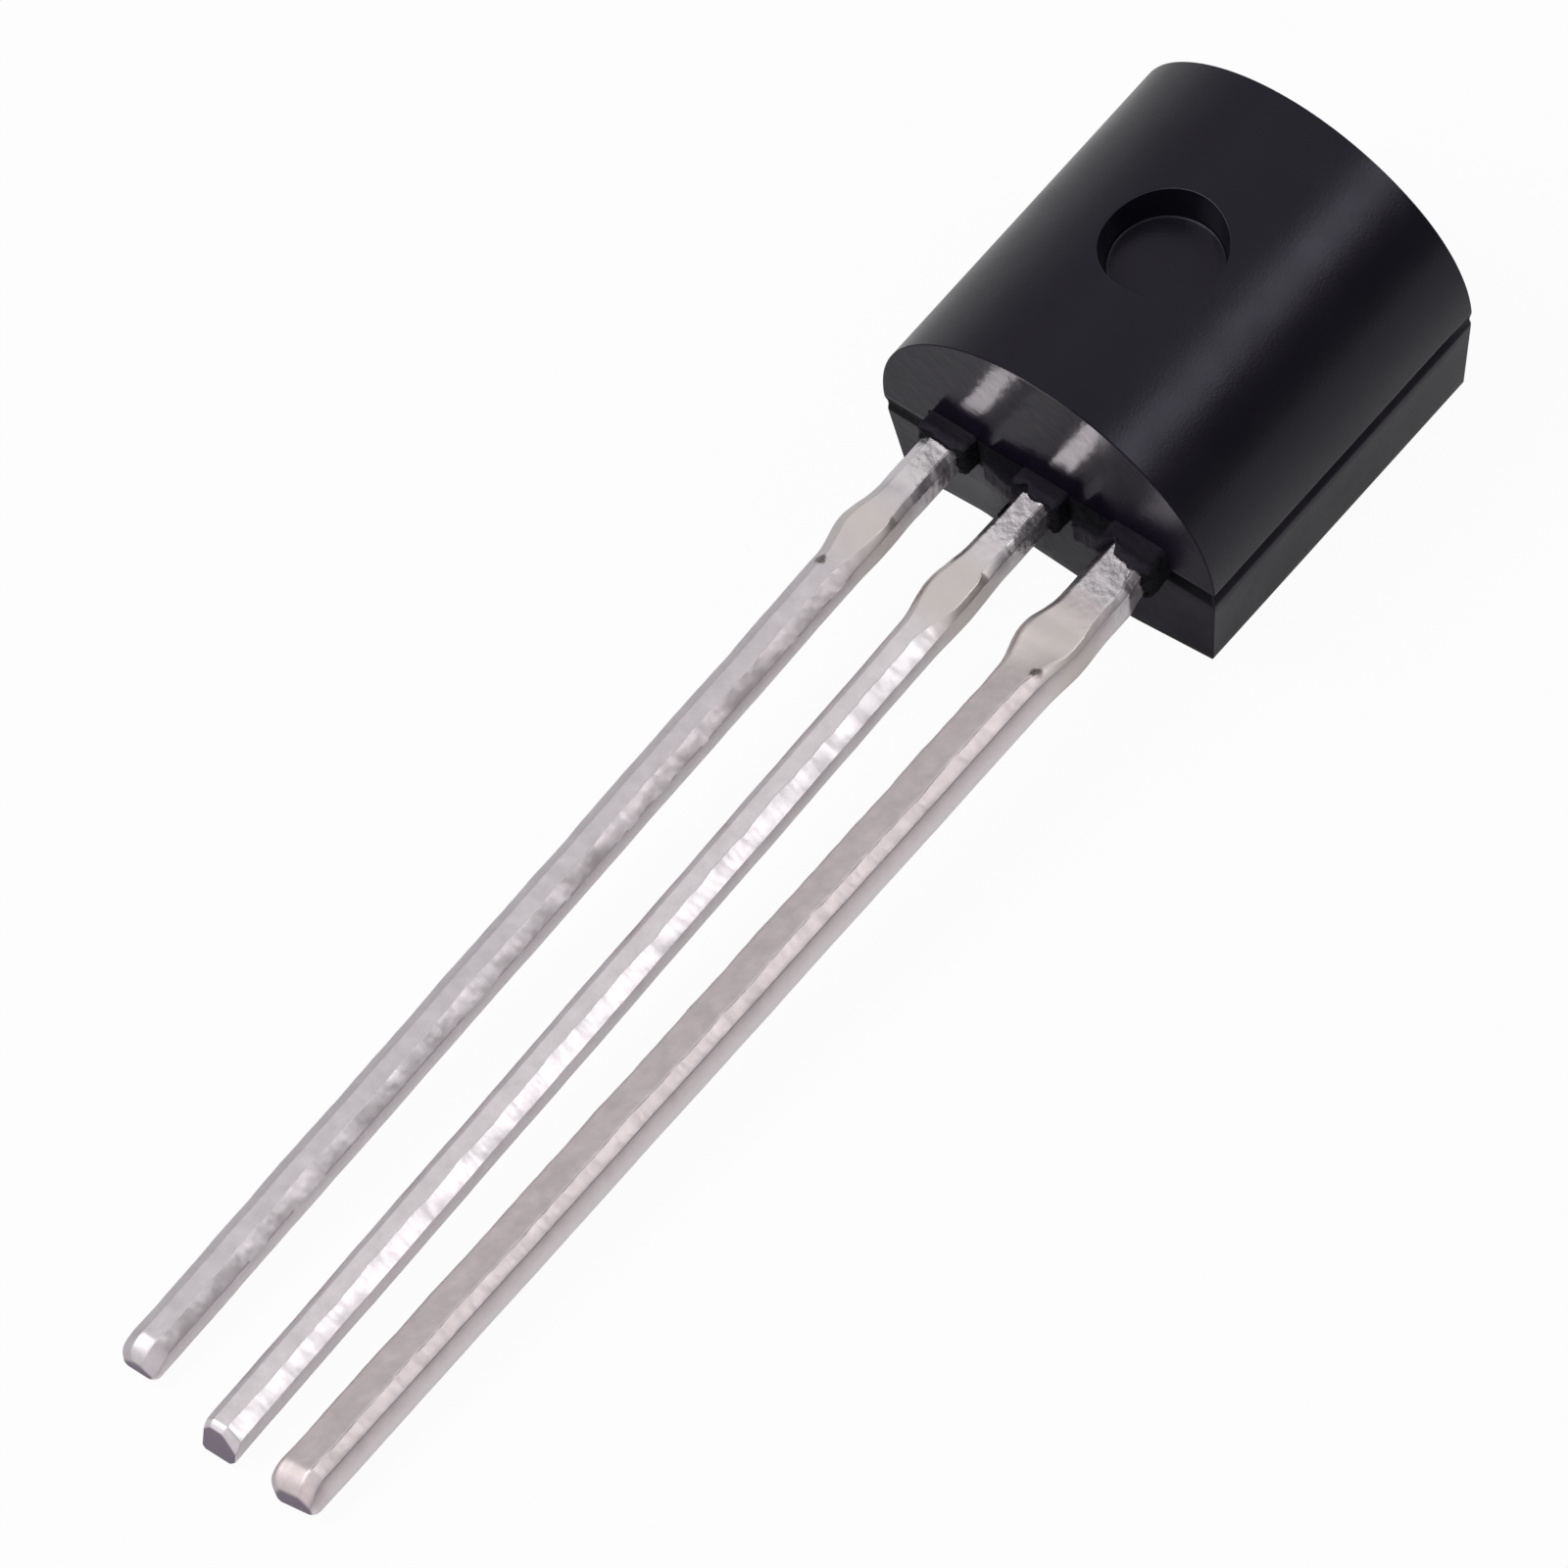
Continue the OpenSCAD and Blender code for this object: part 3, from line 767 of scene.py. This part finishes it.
def post_ring(side):
    """The post as a frame of quads from its outer edge to its anchor hole: a
    rectangle and a circle cut by the same rays from the hole's middle."""
    a = np.linspace(0, 2 * np.pi, 49)
    dx, dy = np.cos(a), np.sin(a)
    cx, cy = POST_HOLE_AT
    x0, x1 = POST_X
    reach = np.minimum(np.where(dx > 0, x1 - cx, cx - x0) / np.maximum(abs(dx), 1e-9),
                       POST_HALF / np.maximum(abs(dy), 1e-9))
    outer = np.stack([cx + reach * dx, cy + reach * dy], -1)
    inner = np.stack([cx + POST_HOLE * dx, cy + POST_HOLE * dy], -1)
    loops = [(outer, 0), (outer, SHEET), (inner, SHEET), (inner, 0), (outer, 0)]
    rows = np.stack([np.concatenate([p * [1, side], np.full((49, 1), z)], 1)
                     for p, z in loops])
    return rows, grid_faces(5, 49)


def lead_piece(number):
    """One stamping: the free lead, its stem, its wings, and the pad or post.
    The finish's values are 0 on all but the free lead, whose closed ends
    repeat those of the first and the last outline."""
    half = LEAD_WIDTH[2] / 2
    y0 = (number - 2) * PITCH
    points, values = free_lead(number)
    values = {layer: np.concatenate([v[:1], v, v[-1:]])
              for layer, v in values.items()}
    punched = LEFT_BEVEL + LEADS[number]["edge"] * BEVEL_RIM
    values["sheared"] = np.maximum(values["sheared"], punched)
    values["rolled"] = RIGHT_BEVEL + 0 * values["station"]
    values["lower"] = RIGHT_SIDE + 0 * values["station"]
    grids = [closed_tube(points),
             plate(rectangle(*STEM_X, y0 - half, y0 + half)),
             plate(rectangle(*WING_X, y0 - half - WING, y0 + half + WING))]
    if number == 2:
        grids.append(plate(rectangle(*PAD_X, -PAD_HALF, PAD_HALF)))
    else:
        grids.append(post_ring(number - 2))
    zero = [0 * g[0][..., 0] for g in grids[1:]]
    piece = make_piece("lead_%d_tinned" % number, grids,
                       "tinned_lead_%d" % number, LEAD_SHARP,
                       **{layer: [v] + zero for layer, v in values.items()})
    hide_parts("lead_%d" % number)
    return piece


leads = {n: lead_piece(n) for n in (1, 2, 3)}

# %% [markdown]
# ## Finishes
# Every finish is worked out from the point's place on the part, never from a
# picture, so it stays with the piece wherever it is used.  The trees repeat
# the same few nodes, so a small class adds them: each method returns the
# output that the next one takes.

# %% Helper for node trees


class Tree:
    """The emptied node tree of a material or a world."""

    def __init__(self, owner):
        owner.use_nodes = True
        self.nodes, self.links = owner.node_tree.nodes, owner.node_tree.links
        self.nodes.clear()

    def give(self, socket, value):
        """Links an output to the socket, or writes a plain value on it."""
        if isinstance(value, bpy.types.NodeSocket):
            self.links.new(value, socket)
        else:
            socket.default_value = value

    def calc(self, operation, a, b):
        """One step of arithmetic on outputs or numbers."""
        node = self.nodes.new("ShaderNodeMath")
        node.operation = operation
        self.give(node.inputs[0], a)
        self.give(node.inputs[1], b)
        return node.outputs[0]

    def times(self, a, b):
        return self.calc("MULTIPLY", a, b)

    def plus(self, a, b):
        return self.calc("ADD", a, b)

    def minus(self, a, b):
        return self.calc("SUBTRACT", a, b)

    def larger(self, a, b):
        return self.calc("MAXIMUM", a, b)

    def axes(self, kind):
        """The point's own X, Y and Z, in Object or Generated coordinates."""
        coord = self.nodes.new("ShaderNodeTexCoord")
        split = self.nodes.new("ShaderNodeSeparateXYZ")
        self.links.new(coord.outputs[kind], split.inputs[0])
        return split.outputs

    def attribute(self, name):
        node = self.nodes.new("ShaderNodeAttribute")
        node.attribute_name = name
        return node.outputs["Fac"]

    def noise(self, scale, detail=3, rough=0.55, stretch=(1, 1, 1)):
        """Noise on object coordinates; the scale counts bumps per millimetre."""
        coord = self.nodes.new("ShaderNodeTexCoord")
        mapping = self.nodes.new("ShaderNodeMapping")
        mapping.inputs["Scale"].default_value = [1000 * scale * v for v in stretch]
        mapping.inputs["Rotation"].default_value = (0, REST_TILT, 0)
        texture = self.nodes.new("ShaderNodeTexNoise")
        texture.inputs["Scale"].default_value = 1.0
        texture.inputs["Detail"].default_value = detail
        texture.inputs["Roughness"].default_value = rough
        self.links.new(coord.outputs["Object"], mapping.inputs[0])
        self.links.new(mapping.outputs[0], texture.inputs["Vector"])
        return texture.outputs["Fac"]

    def ramp(self, value, *stops):
        """Maps a value from 0 to 1 to grey levels or colours at the stops."""
        node = self.nodes.new("ShaderNodeValToRGB")
        while len(node.color_ramp.elements) < len(stops):
            node.color_ramp.elements.new(0.5)
        for element, (place, colour) in zip(node.color_ramp.elements, stops):
            element.position = place
            element.color = (*([colour] * 3 if np.isscalar(colour) else colour), 1)
        self.links.new(value, node.inputs[0])
        return node.outputs[0]

    def varied(self, noise, low, high):
        """The noise stretched from low to high; its tails stay at the ends."""
        return self.ramp(noise, (0.3, low), (0.7, high))

    def mix(self, amount, colour, other):
        """The colour, turning into the other one by the amount."""
        node = self.nodes.new("ShaderNodeMix")
        node.data_type = "RGBA"
        self.links.new(amount, node.inputs[0])
        self.links.new(colour, node.inputs[6])
        node.inputs[7].default_value = (*other, 1)
        return node.outputs[2]

    def bump(self, height, distance, under=None):
        """A bump on top of the one under it; the distance is in millimetres."""
        node = self.nodes.new("ShaderNodeBump")
        node.inputs["Distance"].default_value = distance * 0.001
        node.inputs["Strength"].default_value = 1.0
        self.links.new(height, node.inputs["Height"])
        if under is not None:
            self.links.new(under, node.inputs["Normal"])
        return node.outputs[0]


def new_material(name):
    """A material, its tree and the inputs of its shader."""
    material = bpy.data.materials.new(name)
    tree = Tree(material)
    out = tree.nodes.new("ShaderNodeOutputMaterial")
    shader = tree.nodes.new("ShaderNodeBsdfPrincipled")
    tree.links.new(shader.outputs[0], out.inputs[0])
    return material, tree, shader.inputs


# %% [markdown]
# Moulding compound is fine filler in black resin: nearly black, with a satin
# face that took the spark-eroded mould's texture, and a glossier end face that
# mirrors the leads.  Where plastic was broken off it is rough and mirrors
# nothing, and it comes as a lit and a shaded copy: a lighter one and a
# near-black one whose darkness is painted shade.  One function makes all
# four, because only the numbers differ.

# %% Moulding compound: satin sides, polished end, shaded and lit broken plastic
VIOLET_CAST = (0.88, 0.83, 1.0, 1)
RESIN_IOR = 1.5


def moulding(name, low, high, rough, grain, specular, dull_side=0.0):
    """Colour and roughness run between two values by slow noise; the grain is
    given as bumps per millimetre and depth.  Dull_side is added to the
    roughness beside the first lead, where -500 y runs from 0.38 to 0.54."""
    material, tree, inputs = new_material(name)
    tree.give(inputs["Base Color"], tree.varied(tree.noise(0.5, 5, 0.6), low, high))
    roughness = tree.varied(tree.noise(0.9, 4), *rough)
    if dull_side:
        beside = tree.times(tree.axes("Object")["Y"], -500.0)
        roughness = tree.plus(roughness, tree.ramp(
            beside, (0.38, 0.0), (0.54, dull_side)))
    tree.give(inputs["Roughness"], roughness)
    size, depth = grain
    wave = tree.bump(tree.noise(0.9, 3), 0.006)
    tree.give(inputs["Normal"], tree.bump(tree.noise(size, 2), depth, wave))
    inputs["IOR"].default_value = RESIN_IOR
    inputs["Specular IOR Level"].default_value = specular
    inputs["Specular Tint"].default_value = VIOLET_CAST
    return material


for material in (
        moulding("moulding_compound_satin",
                 (0.0040, 0.0034, 0.0072), (0.0068, 0.0060, 0.0108),
                 rough=(0.22, 0.33), grain=(30, 0.0015), specular=0.31),
        moulding("moulding_compound_polished",
                 (0.0066, 0.0044, 0.0110), (0.0094, 0.0064, 0.0148),
                 rough=(0.14, 0.20), grain=(6, 0.0040), specular=0.15,
                 dull_side=0.26),
        # Broken plastic whose near-black colour is painted shade.
        moulding("moulding_compound_broken_painted_shade",
                 (0.003, 0.003, 0.004), (0.006, 0.006, 0.008),
                 rough=(0.6, 0.8), grain=(9, 0.025), specular=0.12),
        # The lighter, lit copy of the broken plastic, also the valley's and rounds'
        # finish.
        moulding("moulding_compound_web",
                 (0.009, 0.008, 0.012), (0.022, 0.019, 0.026),
                 rough=(0.5, 0.65), grain=(7, 0.02), specular=0.12)):
    body.data.materials.append(material)
print("body slots:", [m.name for m in body.data.materials])

# %% [markdown]
# Tin plating is a soft white metal with a faint warm cast.  It goes on
# unevenly, so it is crumpled between the stub and the body and quilted on the
# bevel further out, and it was pressed smooth where the tie bar was cut.  The
# punch left it dark on the sheared end and along the bevels.  On leads 2 and 3
# the right bevel also gets darker patches, partly uneven tin and partly painted
# shade that dims the lamp's highlight band there.  The values stored on the
# points say where each of these is, so one tree does all three leads and only
# the tint and the lumps differ.

# %% Tin
LOWER_TINT = (0.88, 0.82, 0.84)
NEAR_BODY_TINT = (0.86, 0.81, 0.83)
COINED_TINT = (0.78, 0.71, 0.69)
RESIDUE_TINT = (0.10, 0.08, 0.07)
SHEARED_TINT = (0.27, 0.23, 0.28)


def tin(name, tint, lumps, bevel_lump, rough, bevel_tint_and_shade=None):
    """Lumps gives the bumps per millimetre and the depth on the faces, and
    rough the roughness of the faces and of the right bevel.  A darker bevel
    tint covers that bevel in patches, partly uneven tin and partly painted
    shade that dims the lamp's highlight band; they fade from 4.5 to 8.5 mm
    out."""
    material, tree, inputs = new_material(name)
    station, coined, sheared, soft, residue, rolled, lower = [
        tree.attribute(layer) for layer in (
            "station", "coined", "sheared", "soft", "residue", "rolled", "lower")]
    near_body = tree.ramp(station, (0.85, 1.0), (1.0, 0.0))

    colour = tree.varied(tree.noise(4, 5, 0.65), [0.9 * c for c in tint],
                         [1.08 * c for c in tint])
    # Painted shade in patches on the right bevel, with uneven tin: it dims the lamp's
    # highlight band, most near the body.
    if bevel_tint_and_shade:
        patch = tree.ramp(tree.noise(1.6, 2), (0.35, 1.0), (0.62, 0.4))
        fade = tree.ramp(tree.times(station, 0.1), (0.45, 1.0), (0.85, 0.4))
        patch = tree.times(tree.times(rolled, patch), fade)
        colour = tree.mix(patch, colour, bevel_tint_and_shade)
    speck = tree.ramp(tree.times(residue, tree.noise(9, 3)),
                      (0.2, 0.0), (0.4, 0.85))
    for amount, other in ((lower, LOWER_TINT), (near_body, NEAR_BODY_TINT),
                          (coined, COINED_TINT), (speck, RESIDUE_TINT),
                          (sheared, SHEARED_TINT)):
        colour = tree.mix(amount, colour, other)
    tree.give(inputs["Base Color"], colour)
    inputs["Metallic"].default_value = 1.0

    face_rough, bevel_rough = rough
    grain = tree.varied(tree.noise(5, 4), face_rough - 0.04, face_rough + 0.04)
    change = tree.minus(tree.times(rolled, bevel_rough - face_rough),
                        tree.times(near_body, 0.08))
    change = tree.plus(change, tree.times(soft, 0.30))
    tree.give(inputs["Roughness"], tree.plus(grain, change))

    loose = tree.minus(1.0, tree.times(coined, 0.9))
    size, depth = lumps
    height = tree.bump(tree.times(tree.noise(size, 2, 0.5), loose), depth)
    quilt = tree.noise(7, 1, 0.4, (1, 0.4, 0.4))
    height = tree.bump(tree.times(quilt, tree.times(rolled, loose)),
                       bevel_lump, height)
    height = tree.bump(tree.times(tree.noise(9, 3, 0.5), near_body), 0.007, height)
    tree.give(inputs["Normal"], tree.bump(tree.noise(34, 2), 0.0005, height))
    return material


leads[1].data.materials.append(tin(
    "tin_rough", (0.75, 0.665, 0.675), (4, 0.012), 0.014, rough=(0.35, 0.45)))
# Leads 2 and 3 darken their right bevel in patches, partly painted shade over the
# highlight band.
leads[2].data.materials.append(tin(
    "tin_bright", (0.86, 0.80, 0.83), (3, 0.006), 0.008, rough=(0.24, 0.33),
    bevel_tint_and_shade=(0.50, 0.47, 0.49)))
leads[3].data.materials.append(tin(
    "tin_quilted", (0.73, 0.68, 0.71), (3, 0.014), 0.012, rough=(0.30, 0.40),
    bevel_tint_and_shade=(0.65, 0.59, 0.61)))
print("tins:", [leads[n].data.materials[0].name for n in leads])

# %% [markdown]
# The pieces inside can't be seen in the whole part, yet they get the finish
# that a cut-open one would show: grey silicon with a high polish, dull silver
# glue under it, and drawn gold wire.

# %% Inner pieces


def inner_metal(name, low, high, metallic, rough, sizes, detail):
    """Colour and roughness run between two values by noise of two sizes."""
    material, tree, inputs = new_material(name)
    colour_size, rough_size = sizes
    tree.give(inputs["Base Color"],
              tree.varied(tree.noise(colour_size, detail), low, high))
    inputs["Metallic"].default_value = metallic
    tree.give(inputs["Roughness"],
              tree.varied(tree.noise(rough_size, detail), *rough))
    return material


def dress(node, material):
    """Gives a piece of the construction model one material."""
    mesh = bpy.data.objects[node].data
    mesh.materials.clear()
    mesh.materials.append(material)


silicon = inner_metal("polished_silicon", (0.16, 0.18, 0.22), (0.22, 0.24, 0.28),
                      0.6, rough=(0.08, 0.14), sizes=(3, 12), detail=2)
bond = inner_metal("silver_bond", (0.5, 0.5, 0.5), (0.68, 0.68, 0.7),
                   0.8, rough=(0.4, 0.6), sizes=(20, 15), detail=3)
gold = inner_metal("drawn_gold", (0.80, 0.58, 0.20), (0.88, 0.68, 0.30),
                   1.0, rough=(0.2, 0.3), sizes=(10, 25), detail=2)
for node, material in (("die", silicon), ("die_bond", bond),
                       ("wire_1", gold), ("wire_3", gold)):
    dress(node, material)
    print(node, "is", material.name)

# %% [markdown]
# ## Studio
# The part lies on a pale floor in a bright room.  The floor shows near white to
# the camera, shines a little in mirrors and keeps the contact shadow.  The
# camera sees a white room, but the tin and the resin see it dimmer: on the
# right, which keeps the body's right side dark; above the horizon, which greys
# the leads' flats; and on the left, which narrows the pale band there.

# %% Floor
FLOOR_HALF = 0.6
GLOW_SEEN, GLOW_MIRRORED = 0.95, 0.15
corners = [(-1, -1), (1, -1), (1, 1), (-1, 1)]
floor_mesh = bpy.data.meshes.new("floor")
floor_mesh.from_pydata([(FLOOR_HALF * x, FLOOR_HALF * y, 0) for x, y in corners],
                       [], [(0, 1, 2, 3)])
floor = bpy.data.objects.new("floor", floor_mesh)
bpy.context.scene.collection.objects.link(floor)
paper = bpy.data.materials.new("pale_paper")
tree = Tree(paper)
out = tree.nodes.new("ShaderNodeOutputMaterial")
mix = tree.nodes.new("ShaderNodeMixShader")
plain = tree.nodes.new("ShaderNodeBsdfDiffuse")
plain.inputs["Color"].default_value = (0.9, 0.9, 0.9, 1)
glow = tree.nodes.new("ShaderNodeEmission")
glow.inputs["Color"].default_value = (1, 1, 1, 1)
path = tree.nodes.new("ShaderNodeLightPath").outputs
seen = tree.larger(path["Is Camera Ray"], tree.larger(
    path["Is Glossy Ray"], path["Is Transmission Ray"]))
share = tree.larger(tree.times(seen, GLOW_MIRRORED),
                    tree.times(path["Is Camera Ray"], GLOW_SEEN))
tree.links.new(share, mix.inputs[0])
tree.links.new(plain.outputs[0], mix.inputs[1])
tree.links.new(glow.outputs[0], mix.inputs[2])
tree.links.new(mix.outputs[0], out.inputs[0])
floor.data.materials.append(paper)

# %% Room
AMBIENT = 0.45
RIGHT = 0.41, -0.91
world = bpy.data.worlds.new("studio")
bpy.context.scene.world = world
tree = Tree(world)
out = tree.nodes.new("ShaderNodeOutputWorld")
back = tree.nodes.new("ShaderNodeBackground")
back.inputs["Color"].default_value = (1, 1, 1, 1)
path = tree.nodes.new("ShaderNodeLightPath").outputs
mirrored = tree.larger(path["Is Glossy Ray"], path["Is Transmission Ray"])
way = tree.axes("Generated")
toward = tree.plus(tree.times(way["X"], RIGHT[0]),
                   tree.times(way["Y"], RIGHT[1]))
level = tree.times(tree.ramp(toward, (0.55, 1.0), (0.85, 0.25)),
                   tree.ramp(way["Z"], (0.0, 1.0), (0.25, 0.7)))
level = tree.times(level, tree.ramp(way["Y"], (0.52, 1.0), (0.68, 0.70),
                                    (0.9, 0.78)))
level = tree.times(level, tree.larger(mirrored, AMBIENT))
level = tree.larger(level, path["Is Camera Ray"])
tree.links.new(level, back.inputs["Strength"])
tree.links.new(back.outputs[0], out.inputs[0])

# %% [markdown]
# A square key from the front left gives the light its direction and the soft
# shadow.  A panel from behind right is seen in whatever faces halfway between
# it and the camera: it draws the streak along the crown and the white band on
# the middle lead's bevel.

# %% Lamps


def panel(name, place, aim, width, height, radiance):
    """An area lamp whose face has the given radiance: power = pi A L."""
    lamp = bpy.data.lights.new(name, "AREA")
    lamp.shape = "RECTANGLE"
    lamp.size, lamp.size_y = width, height
    lamp.energy = np.pi * width * height * radiance
    obj = bpy.data.objects.new(name, lamp)
    place, aim = np.array(place), np.array(aim)
    z = (place - aim) / np.linalg.norm(place - aim)
    x = np.cross([0, 0, 1], z)
    x = x / np.linalg.norm(x)
    y = np.cross(z, x)
    m = Matrix([[*a] for a in np.stack([x, y, z], 1)]).to_4x4()
    m.translation = place.tolist()
    obj.matrix_world = m
    bpy.context.scene.collection.objects.link(obj)
    print(name, "gives", round(lamp.energy, 3), "W")


panel("key", (-0.16, 0.16, 0.33), (0, 0, 0), 0.2, 0.2, 6.0)
panel("stripe", (0.14, -0.18, 0.265), (0.006, 0, 0.001), 0.13, 0.10, 2.5)

# %% [markdown]
# ## Camera
# A long lens from far away keeps the leads nearly parallel.  The camera looks
# down its own -z, so its third direction points back from the part.

# %% Place the camera
cam = bpy.data.cameras.new("camera")
cam.sensor_width = 36
cam.lens = 729.78
cam.clip_start, cam.clip_end = 0.05, 5
camera = bpy.data.objects.new("camera", cam)
right = np.array([0.62407093, -0.77968358, -0.05127364])
upward = np.array([0.65049712, 0.48207179, 0.58690739])
backward = np.array([-0.43288448, -0.3996252, 0.80802891])
view = Matrix([[*a] for a in np.stack([right, upward, backward], 1)]).to_4x4()
view.translation = (-0.1462018568, -0.13533544, 0.27480707)
camera.matrix_world = view
bpy.context.scene.collection.objects.link(camera)
bpy.context.scene.camera = camera
bpy.context.scene.view_settings.view_transform = "Standard"
